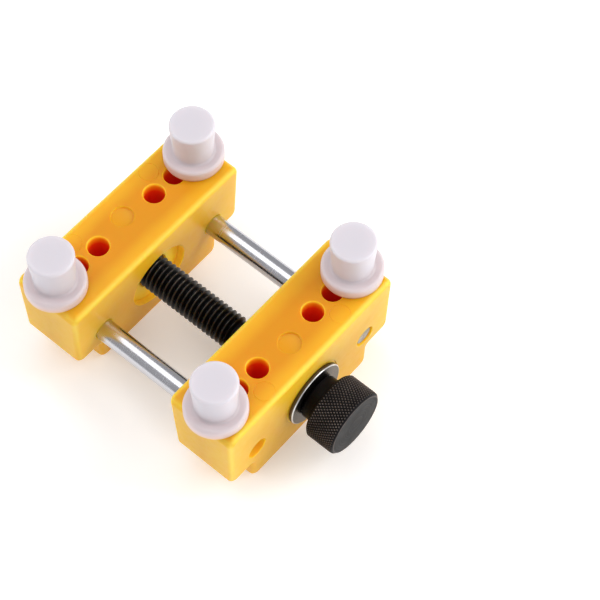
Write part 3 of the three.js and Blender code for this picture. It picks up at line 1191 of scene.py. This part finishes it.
@dataclass(frozen=True)
class Peg:
    """A moulded peg: pin, flange and a head that widens a little upwards.

    Args:
        place: Where the piece goes.
        x: Its place across the jaw.
        y: Its row.
        sink: How far the head's top is dished.
    """

    place: Place
    x: float
    y: float
    pin_radius: float = 2.25
    pin_length: float = 9.0
    flange_radius: float = 6.7
    flange_height: float = 2.8
    base_radius: float = 4.4
    top_radius: float = 5.0
    height: float = 12.0
    seat_gap: float = 0.02
    sink: float = 0.05

    def line(self) -> np.ndarray:
        """The peg's profile from the pin's tip to the top, corners rounded."""
        foot = JAW_TOP + self.seat_gap
        flange_top, top = foot + self.flange_height, foot + self.height
        return rounded(
            [
                (0.01, JAW_TOP - self.pin_length, 0.0),
                (self.pin_radius, JAW_TOP - self.pin_length, 0.45),
                (self.pin_radius, foot, 0.0),
                (self.flange_radius, foot, 0.25),
                (self.flange_radius, flange_top, 0.75),
                (self.base_radius, flange_top, 0.7),
                (self.top_radius, top, 0.55),
                (self.top_radius - 1.2, top - self.sink, 0.5),
                (0.01, top - self.sink * 1.6, 0.0),
            ],
            closed=False,
            steps=8,
        )

    def build(self, material: bpy.types.Material) -> bpy.types.Object:
        """Makes the peg and puts it on the frame.

        Args:
            material: Its finish.

        Returns:
            The piece.
        """
        piece = new_piece(
            turned_line(self.line(), Axis.Z, (self.x, self.y), segments=96), self.place.name
        )
        finish_piece(piece, self.place, material)
        return piece


@dataclass(frozen=True)
class GuideRod:
    """A ground steel rod with chamfered ends, each end faced in the lathe.

    Args:
        place: Where the piece goes.
        x: Its place across the jaws.
        start: Station of its front end.
    """

    place: Place
    x: float
    start: float
    radius: float = 2.45
    length: float = ROD_LENGTH
    chamfer: float = 0.4
    dimple: float = 0.12
    end_shade: float = 2.0
    segments: int = 72

    def build(self) -> bpy.types.Object:
        """Makes the rod and puts it on the frame.

        The faced ends are painted darker and warmer than the ground side, as painted shade.

        Returns:
            The piece.
        """
        stop = self.start + self.length
        inner = self.radius - self.chamfer
        line = rounded(
            [
                (0.01, self.start + self.dimple, 0.0),
                (0.45, self.start, 0.0),
                (inner, self.start, 0.05),
                (self.radius, self.start + self.chamfer, 0.08),
                (self.radius, stop - self.chamfer, 0.08),
                (inner, stop, 0.05),
                (0.45, stop, 0.0),
                (0.01, stop - self.dimple, 0.0),
            ],
            closed=False,
            steps=3,
        )
        # Painted shade on the faced ends.
        shaded_end = self.end_shade * (line[:, :1] < inner + 0.02)
        centre, paint = (self.x, AXIS_Z), {"crest": np.repeat(shaded_end, self.segments, 1)}
        rod = turned_line(line, Axis.Y, centre, segments=self.segments, paint=paint)
        # Ground bright steel: long clean streaks of light; the faced ends take a darker, warmer
        # painted shade.
        steel = TurnedMetal(
            "steel_ground_bright", "#CDCDD1", "#807A70", centre=centre, rough=(0.14, 0.3)
        )
        piece = new_piece(rod, self.place.name)
        finish_piece(piece, self.place, steel.make())
        return piece


def thread_radius(angle: np.ndarray, y: np.ndarray) -> np.ndarray:
    """Radius of the right-hand triangular thread.

    The share of a turn at a spot is y / pitch - angle / a full turn; the radius falls in a
    straight line from the crest at share 0 to the root at a half, and rises again.

    Args:
        angle: Angles round the screw, in radians.
        y: Stations along it, in millimetres.

    Returns:
        The radius at each angle and station, in millimetres.
    """
    phase = np.mod((y + MIDDLE) / THREAD_PITCH - angle / (2 * math.pi), 1.0)
    flank = np.abs(2 * phase - 1)
    return SCREW_RADIUS - THREAD_DEPTH * np.clip((flank - 0.1) / 0.85, 0.0, 1.0)


@dataclass(frozen=True)
class LeadScrew:
    """The lead screw: plain shank with a clip groove, then an M8 thread to its end.

    Args:
        place: Where the piece goes.
        knob_depth: How far the shank reaches into the knob.
        thread_start: Station where the thread begins.
        end: Station of the screw's end.
        groove_gap: Room beside the clip in its groove.
        crest_band: How far below the crest the thread is rubbed.
    """

    place: Place
    knob_depth: float = 8.5
    groove_radius: float = 3.1
    clip_thickness: float = 0.9
    thread_start: float = 14.0 - MIDDLE
    end: float = 38.141
    rows_per_turn: int = 14
    segments: int = 48
    groove_gap: float = 0.3
    crest_band: float = 0.25

    def build(self) -> bpy.types.Object:
        """Makes the screw and puts it on the frame.

        The thread runs out into the shank and into the end along 45 degree cones. Its crests are
        painted as worn over crest_band.

        Returns:
            The piece.
        """
        start = NECK_Y - self.knob_depth
        groove_start = CLIP_Y - self.groove_gap
        groove_end = CLIP_Y + self.clip_thickness + self.groove_gap
        root = SCREW_RADIUS - THREAD_DEPTH
        shank = rounded(
            [
                (0.01, start, 0.0),
                (SCREW_RADIUS, start, 0.3),
                (SCREW_RADIUS, groove_start, 0.06),
                (self.groove_radius, groove_start, 0.12),
                (self.groove_radius, groove_end, 0.12),
                (SCREW_RADIUS, groove_end, 0.06),
                (SCREW_RADIUS, self.thread_start - 1.0, 0.1),
                (root, self.thread_start - 0.3, 0.0),
            ],
            closed=False,
            steps=3,
        )
        count = int(self.rows_per_turn * (self.end - self.thread_start) / THREAD_PITCH)
        along = np.linspace(self.thread_start - 0.25, self.end, count)
        angle = np.arange(self.segments) * (2 * math.pi / self.segments)
        thread = thread_radius(angle[None], along[:, None])
        run = np.minimum(along - along[0], self.end - along + 0.1)[:, None]
        thread = np.minimum(thread, root + run)
        radius = np.vstack([np.repeat(shank[:, :1], self.segments, 1), thread])
        station = np.concatenate([shank[:, 1], along])
        crest = np.clip((radius - (SCREW_RADIUS - self.crest_band)) / self.crest_band, 0, 1)
        crest[: len(shank)] = 0.15
        paint = {"crest": crest}
        screw = turned(radius, station, Axis.Y, (0.0, AXIS_Z), segments=self.segments, paint=paint)
        # Oiled black oxide: deep black, grey where the nut has rubbed the thread's crests.
        steel = TurnedMetal(
            "steel_blackened_oiled", "#121214", "#5E5A56", metallic=0.8, rough=(0.24, 0.4)
        )
        piece = new_piece(screw, self.place.name)
        finish_piece(piece, self.place, steel.make())
        return piece


@dataclass(frozen=True)
class ThumbKnob:
    """The knob: a barrel with a cut diamond knurl, a smooth neck and a blind bore.

    Args:
        place: Where the piece goes.
        crest_highlight: Strength of the painted highlight on the knurl's points.
        lip_highlight: Strength of the painted highlight on the rim of the face, on top of that.
    """

    place: Place
    neck_radius: float = 5.2
    neck_length: float = KNOB_NECK
    barrel_radius: float = KNOB_RADIUS
    barrel_length: float = 7.4
    chamfer: float = 0.6
    knurl_starts: int = 66
    knurl_depth: float = 0.34
    knurl_angle: float = 36.0
    bore_radius: float = 4.15
    bore_depth: float = 8.8
    grub_radius: float = 1.25
    steps_per_groove: int = 10
    rows: int = 90
    crest_highlight: float = 1.5
    lip_highlight: float = 0.8

    def knurl_radius(self, angle: np.ndarray, y: np.ndarray) -> np.ndarray:
        """Radius of the knurled barrel.

        Two families of V grooves wind opposite ways. Each is the distance to the nearest groove
        in shares of the spacing, and the deeper of the two grooves at a spot counts.

        Args:
            angle: Angles round the barrel, in radians.
            y: Distances from the barrel's face, in millimetres.

        Returns:
            The radius at each angle and distance.
        """
        wind = math.tan(math.radians(self.knurl_angle)) / self.barrel_radius
        deep = np.zeros(np.broadcast_shapes(angle.shape, y.shape))
        for hand in (-1, 1):
            share = np.mod(self.knurl_starts * (angle + hand * wind * y) / (2 * math.pi), 1.0)
            deep = np.maximum(deep, np.clip(1.06 - 2.3 * np.abs(share - 0.5), 0, 1))
        return self.barrel_radius - self.knurl_depth * deep

    def build(self) -> bpy.types.Object:
        """Makes the knob and puts it on the frame.

        The rings run from the middle of the face out over the knurl, down the neck and into the
        bore. Near each end of the knurl the radius is the lesser of the knurl's and a 45 degree
        chamfer's.

        Returns:
            The piece.
        """
        face = NECK_Y - self.neck_length - self.barrel_length
        back = NECK_Y - self.neck_length
        segments = self.knurl_starts * self.steps_per_groove
        angle = np.arange(segments) * (2 * math.pi / segments)
        along = np.linspace(face + 0.04, back - 0.04, self.rows)
        barrel = self.knurl_radius(angle[None], (along - face)[:, None])
        from_end = np.minimum(along - face, back - along)[:, None]
        cone = self.barrel_radius - self.chamfer + from_end
        barrel = np.minimum(barrel, cone)
        lip, run = self.barrel_radius - self.chamfer, 0.1
        before = rounded(
            [
                (0.01, face, 0.0),
                (lip - 0.25, face, 0.0),
                (lip, face, 0.06),
                (lip + run, face + run, 0.0),
            ],
            closed=False,
            steps=3,
        )[:-1]
        after = rounded(
            [
                (lip + run, back - run, 0.0),
                (lip, back, 0.06),
                (self.neck_radius, back, 0.15),
                (self.neck_radius, NECK_Y, 0.3),
                (self.bore_radius, NECK_Y, 0.15),
                (self.bore_radius, NECK_Y - self.bore_depth, 0.2),
                (0.01, NECK_Y - self.bore_depth - 0.6, 0.0),
            ],
            closed=False,
            steps=5,
        )[1:]
        radius = np.vstack(
            [
                np.repeat(before[:, :1], segments, 1),
                barrel,
                np.repeat(after[:, :1], segments, 1),
            ]
        )
        station = np.concatenate([before[:, 1], along, after[:, 1]])
        root = self.barrel_radius - self.knurl_depth
        # Painted highlight on the knurl's points and on the lip of the face.
        crest = np.clip((radius - root) / self.knurl_depth, 0, 1) ** 2 * self.crest_highlight
        on_lip = (np.abs(radius - lip) < 0.12) & (station < face + 0.12)[:, None]
        paint = {"crest": crest + on_lip * self.lip_highlight}
        knob = turned(radius, station, Axis.Y, (0.0, AXIS_Z), segments=segments, paint=paint)
        piece = new_piece(knob, self.place.name)
        low, high, wide = AXIS_Z - self.barrel_radius - 1.0, AXIS_Z - 3.0, self.grub_radius
        line = np.array([[0.01, low], [wide, low], [wide, high], [0.01, high]])
        cut_out(piece, turned_line(line, Axis.Z, (0.0, GRUB_Y), segments=28))
        # Black anodised aluminium: nearly matt, with painted grey highlights on the knurl's points
        # and the lip.
        black = TurnedMetal(
            "aluminium_black_anodised",
            "#0C0B0D",
            "#867B75",
            metallic=0.05,
            rough=(0.34, 0.5),
            ring_depth=0.006,
            specular=0.1,
        )
        finish_piece(piece, self.place, black.make())
        return piece


@dataclass(frozen=True)
class Washer:
    """A bright steel thrust washer with rolled edges.

    Args:
        place: Where the piece goes.
        start: Station of its face nearer the knob.
        rim_highlight: Strength of the painted highlight on its front rim.
        rim_band: How far the painted highlight reaches from that rim's corner.
    """

    place: Place
    start: float
    outer: float = 7.7
    bore: float = 4.25
    thickness: float = 1.05
    rim_highlight: float = 3.0
    rim_band: float = 0.3
    segments: int = 128

    def build(self, material: bpy.types.Material) -> bpy.types.Object:
        """Makes the washer and puts it on the frame.

        The nearer a point is to the front outer corner, the more painted highlight it takes.

        Args:
            material: Its finish.

        Returns:
            The piece.
        """
        stop = self.start + self.thickness
        line = rounded(
            [
                (self.bore, self.start, 0.12),
                (self.outer, self.start, 0.32),
                (self.outer, stop, 0.2),
                (self.bore, stop, 0.12),
            ],
            closed=True,
            steps=5,
        )
        corner = np.hypot(line[:, 0] - self.outer, line[:, 1] - self.start)
        # Painted highlight along the front outer rim.
        rim = self.rim_highlight * np.clip(1 - corner / self.rim_band, 0, 1)[:, None]
        washer = turned_line(
            line,
            Axis.Y,
            (0.0, AXIS_Z),
            ends=Ends.JOINED,
            segments=self.segments,
            paint={"crest": np.repeat(rim, self.segments, 1)},
        )
        piece = new_piece(washer, self.place.name)
        finish_piece(piece, self.place, material)
        return piece


@dataclass(frozen=True)
class SpringClip:
    """An E clip, stamped from strip: three prongs reach in to the screw's groove.

    Args:
        place: Where the piece goes.
        prong: Radius of the prongs' tips.
        relief: Radius between the prongs.
        mouth_degrees: Half the angle of the open side.
        soft: Size of its softened corners.
        rows: Sections along its sweep.
    """

    place: Place
    outer: float = 6.4
    prong: float = 3.3
    relief: float = 4.5
    mouth_degrees: float = 21.0
    thickness: float = 0.9
    soft: float = 0.1
    rows: int = 160

    def build(self, material: bpy.types.Material) -> bpy.types.Object:
        """Makes the clip and puts it on the frame.

        The section is a rectangle with soft corners, from an inner radius that steps between
        prong and relief to the outer radius, carried round from one side of the mouth to the
        other. The mouth is at the top.

        Args:
            material: Its finish.

        Returns:
            The piece.
        """
        mouth = math.radians(self.mouth_degrees)
        angle = np.linspace(mouth, 2 * math.pi - mouth, self.rows)
        tips = mouth + 0.26
        prongs = np.zeros_like(angle)
        for middle, width in ((math.pi, 0.42), (tips, 0.34), (2 * math.pi - tips, 0.34)):
            near = np.clip((width - np.abs(angle - middle)) / 0.12 + 0.5, 0, 1)
            prongs = np.maximum(prongs, near * near * (3 - 2 * near))
        inner = self.relief - (self.relief - self.prong) * prongs
        low, high, soft = CLIP_Y, CLIP_Y + self.thickness, self.soft
        section = [
            (inner, soft, low, 0.0),
            (self.outer, -soft, low, 0.0),
            (self.outer, 0.0, low, soft),
            (self.outer, 0.0, high, -soft),
            (self.outer, -soft, high, 0.0),
            (inner, soft, high, 0.0),
            (inner, 0.0, high, -soft),
            (inner, 0.0, low, soft),
        ]
        radius = np.stack(
            [np.broadcast_to(base, angle.shape) + shift for base, shift, _, _ in section], -1
        )
        station = np.array([level + shift for _, _, level, shift in section])
        rings = np.stack(
            [
                radius * np.sin(angle)[:, None],
                np.broadcast_to(station, radius.shape),
                AXIS_Z + radius * np.cos(angle)[:, None],
            ],
            -1,
        )
        piece = new_piece(ring_shell(rings, Ends.POLES), self.place.name)
        finish_piece(piece, self.place, material)
        return piece


@dataclass(frozen=True)
class GrubScrew:
    """The grub screw in the knob's barrel, with a hexagon socket.

    Args:
        place: Where the piece goes.
        sink: How far it sits below the knurl.
        socket: Distance from the socket's middle to its corners.
    """

    place: Place
    radius: float = 1.1
    length: float = 3.0
    sink: float = 0.5
    socket: float = 0.55
    socket_depth: float = 0.9
    segments: int = 48

    def build(self, material: bpy.types.Material) -> bpy.types.Object:
        """Makes the grub screw and puts it on the frame.

        The socket's radius at an angle is its flat's distance over the cosine of the angle from
        the middle of that flat.

        Args:
            material: Its finish.

        Returns:
            The piece.
        """
        bottom = AXIS_Z - KNOB_RADIUS + self.sink
        segments = self.segments
        angle = np.arange(segments) * (2 * math.pi / segments)
        flat = np.mod(angle, math.pi / 3) - math.pi / 6
        hexagon = self.socket * math.cos(math.pi / 6) / np.cos(flat)
        line = rounded(
            [
                (self.socket + 0.12, bottom, 0.0),
                (self.radius, bottom, 0.15),
                (self.radius, bottom + self.length, 0.2),
                (0.01, bottom + self.length, 0.0),
            ],
            closed=False,
            steps=3,
        )
        inner = np.array([0.02, 0.98, 1.0])[:, None] * hexagon
        radius = np.vstack([inner, np.repeat(line[:, :1], segments, 1)])
        deepest = bottom + self.socket_depth
        station = np.concatenate([[deepest, deepest - 0.05, bottom + 0.03], line[:, 1]])
        piece = new_piece(
            turned(radius, station, Axis.Z, (0.0, GRUB_Y), segments=segments), self.place.name
        )
        finish_piece(piece, self.place, material)
        return piece


@dataclass(frozen=True)
class ThreadInsert:
    """The flanged brass insert in the rear jaw, its bore cut with the screw's thread.

    Args:
        place: Where the piece goes.
        groove_depth: Depth of the two grooves that the plastic grips.
        thread_gap: Running gap between the two threads.
        mouth_radius: Radius of the bore's mouths.
    """

    place: Place
    barrel_radius: float = 5.5
    barrel_length: float = 10.0
    flange_radius: float = 7.0
    flange_thickness: float = 1.2
    groove_depth: float = 0.5
    thread_gap: float = 0.14
    mouth_radius: float = 4.6
    rows_per_turn: int = 12
    segments: int = 72

    def build(self) -> bpy.types.Object:
        """Makes the insert and puts it on the frame.

        The bore's radius is the screw's thread radius plus a running gap, opened by a chamfer at
        each end. The outside is a plain profile with two grooves that the plastic grips.

        Returns:
            The piece.
        """
        flange_start = REAR_FACE_Y - 0.3
        flange_end = flange_start + self.flange_thickness
        start = flange_start - self.barrel_length
        corners = [(self.mouth_radius, start, 0.0), (self.barrel_radius, start, 0.3)]
        for share in (0.35, 0.65):
            y = start + share * self.barrel_length
            deep = self.barrel_radius - self.groove_depth
            corners += [
                (self.barrel_radius, y - 0.8, 0.05),
                (deep, y - 0.5, 0.05),
                (deep, y + 0.5, 0.05),
                (self.barrel_radius, y + 0.8, 0.05),
            ]
        corners += [
            (self.barrel_radius, flange_start, 0.1),
            (self.flange_radius, flange_start, 0.1),
            (self.flange_radius, flange_end, 0.28),
            (self.mouth_radius, flange_end, 0.0),
        ]
        outside = rounded(corners, closed=False, steps=3)
        count = int(self.rows_per_turn * (flange_end - start) / THREAD_PITCH)
        along = np.linspace(flange_end - 0.01, start + 0.01, count)
        angle = np.arange(self.segments) * (2 * math.pi / self.segments)
        thread = thread_radius(angle[None], along[:, None]) + self.thread_gap
        from_end = np.minimum(along - start, flange_end - along)[:, None]
        bore = np.maximum(thread, self.mouth_radius - 0.05 - from_end)
        radius = np.vstack([np.repeat(outside[:, :1], self.segments, 1), bore])
        station = np.concatenate([outside[:, 1], along])
        insert = turned(
            radius, station, Axis.Y, (0.0, AXIS_Z), ends=Ends.JOINED, segments=self.segments
        )
        piece = new_piece(insert, self.place.name)
        # Turned brass: warm gold that fine tool rings soften.
        brass = TurnedMetal("brass_turned", "#C8A04A", "#DDBB6A", rough=(0.2, 0.34))
        finish_piece(piece, self.place, brass.make())
        return piece


# ---------------------------------------------------------------- studio


@dataclass(frozen=True)
class ViewCamera:
    """The camera: a long lens above the front left corner.

    Args:
        azimuth: Degrees round the object.
        elevation: Degrees above the horizon.
        roll: Degrees about the line of sight.
        aim: The point at the middle of the frame, in millimetres.
        distance: Millimetres from that point.
        lens: Focal length on a 36 mm wide sensor.
    """

    azimuth: float = -50.027
    elevation: float = 60.015
    roll: float = 0.631
    aim: tuple[float, float, float] = (15.217, -9.908, 13.0)
    distance: float = 439.32
    lens: float = 122.46

    def build(self) -> None:
        """Makes the camera and gives it to the scene."""
        turn, rise, tilt = (math.radians(v) for v in (self.azimuth, self.elevation, self.roll))
        level = math.cos(rise)
        back = Vector((math.sin(turn) * level, -math.cos(turn) * level, math.sin(rise)))
        right = Vector((math.cos(turn), math.sin(turn), 0.0))
        up = back.cross(right)
        right_rolled = right * math.cos(tilt) + up * math.sin(tilt)
        up_rolled = up * math.cos(tilt) - right * math.sin(tilt)
        data = bpy.data.cameras.new("view")
        data.lens, data.sensor_width = self.lens, 36.0
        data.clip_start, data.clip_end = 0.02, 20.0
        camera = bpy.data.objects.new("view", data)
        turned_to = Matrix([right_rolled, up_rolled, back]).transposed().to_4x4()
        spot = (Vector(self.aim) + back * self.distance) * MM
        camera.matrix_world = Matrix.Translation(spot) @ turned_to
        bpy.context.scene.collection.objects.link(camera)
        bpy.context.scene.camera = camera


@dataclass(frozen=True)
class SoftBox:
    """One large soft light.

    Args:
        name: The light's name.
        spot: Where it hangs, in metres.
        side: Its width in metres.
        power: Its power in watts.
        target: The spot it faces, in metres.
    """

    name: str
    spot: tuple[float, float, float]
    side: float
    power: float
    target: tuple[float, float, float] = (0.0, 0.0, 0.015)

    def build(self) -> None:
        """Hangs the light, facing the object."""
        data = bpy.data.lights.new(self.name, "AREA")
        data.shape, data.size, data.energy = "SQUARE", self.side, self.power
        lamp = bpy.data.objects.new(self.name, data)
        lamp.location = self.spot
        aim = Vector(self.target) - Vector(self.spot)
        lamp.rotation_euler = aim.to_track_quat("-Z", "Y").to_euler()
        bpy.context.scene.collection.objects.link(lamp)


@dataclass(frozen=True)
class Studio:
    """White paper floor, even white surroundings and soft boxes.

    Args:
        floor_half: Half the floor's width, in metres.
        floor_gap: Millimetres between the floor and the keels, so that they never share a plane.
        surround: Strength of the surroundings.
        surround_hex: Their colour.
        lights: The soft boxes.
    """

    floor_half: float = 1.5
    floor_gap: float = 0.05
    surround: float = 0.46
    surround_hex: str = "#FBFBFF"
    lights: tuple[SoftBox, ...] = (
        SoftBox("key", (0.42, -0.40, 0.42), 0.40, 2.6),
        SoftBox("fill", (0.0, -0.6, 0.3), 0.50, 0.9),
        SoftBox("overhead", (0.0, 0.25, 0.75), 0.6, 1.8),
        SoftBox("back", (-0.35, 0.55, 0.3), 0.40, 1.2),
    )

    def build(self) -> None:
        """Makes the floor, the world and the lights."""
        half, low = self.floor_half, -self.floor_gap * MM
        mesh = bpy.data.meshes.new("floor")
        corners = [(-half, -half, low), (half, -half, low), (half, half, low), (-half, half, low)]
        mesh.from_pydata(corners, [], [(0, 1, 2, 3)])
        mesh.materials.append(StudioPaper().make())
        floor = bpy.data.objects.new("floor", mesh)
        bpy.context.scene.collection.objects.link(floor)
        world = bpy.data.worlds.new("surround")
        world.use_nodes = True
        sky = world.node_tree.nodes["Background"].inputs
        sky["Color"].default_value = linear(self.surround_hex)
        sky["Strength"].default_value = self.surround
        bpy.context.scene.world = world
        for light in self.lights:
            light.build()
        bpy.context.scene.view_settings.view_transform = "Standard"


# ---------------------------------------------------------------- main


def main() -> None:
    """Builds the studio and the holder, piece by piece."""
    logging.basicConfig(level=logging.INFO, format="%(name)s %(message)s")
    ViewCamera().build()
    Studio().build()
    Jaw(Place("front_jaw_moulding", "front", "front_jaw", "jaw_plastic"), FRONT_ROW, 1).build()
    Jaw(Place("rear_jaw_moulding", "rear", "rear_jaw", "jaw_plastic"), REAR_ROW, -1).build()
    GuideRod(
        Place("right_guide_rod", "front", "guide_rod_right", "bright_steel"),
        ROD_X,
        FRONT_FACE_Y + ROD_SINK,
    ).build()
    GuideRod(
        Place("left_guide_rod", "rear", "guide_rod_left", "bright_steel"),
        -ROD_X,
        REAR_FACE_Y - ROD_SINK - ROD_LENGTH,
    ).build()
    LeadScrew(Place("threaded_lead_screw", "screw", "lead_screw", "black_steel")).build()
    ThumbKnob(Place("knurled_knob", "screw", "thumb_knob", "knob_black")).build()
    # Zinc plated steel: a soft grey shine, with a painted highlight along each washer's front rim.
    plated = TurnedMetal("steel_zinc_plated", "#625D58", "#F4F2EE", rough=(0.22, 0.36)).make()
    Washer(
        Place("front_thrust_washer", "front", "thrust_washer_front", "bright_steel"),
        NECK_Y + WASHER_GAP,
    ).build(plated)
    Washer(
        Place("inner_thrust_washer", "front", "thrust_washer_inner", "bright_steel"),
        INNER_SEAT_Y + WASHER_GAP,
    ).build(plated)
    SpringClip(Place("spring_e_clip", "screw", "retaining_clip", "bright_steel")).build(plated)
    # Blackened steel: dark.
    black = TurnedMetal("steel_blackened", "#1A1A1D", "#55524E", metallic=0.85, rough=(0.3, 0.42))
    GrubScrew(Place("barrel_grub_screw", "screw", "knob_grub_screw", "black_steel")).build(
        black.make()
    )
    ThreadInsert(Place("brass_thread_insert", "rear", "thread_insert", "brass")).build()
    nylon = WhiteNylon().make()
    for row, y, letter in (("front", FRONT_ROW, "f"), ("rear", REAR_ROW, "r")):
        for side, x in (("left", -PEG_X), ("right", PEG_X)):
            place = Place(
                f"{row}_{side}_peg", f"peg_{letter}{side[0]}", f"peg_{row}_{side}", "peg_nylon"
            )
            Peg(place, x, y).build(nylon)


if __name__ == "__main__":
    main()
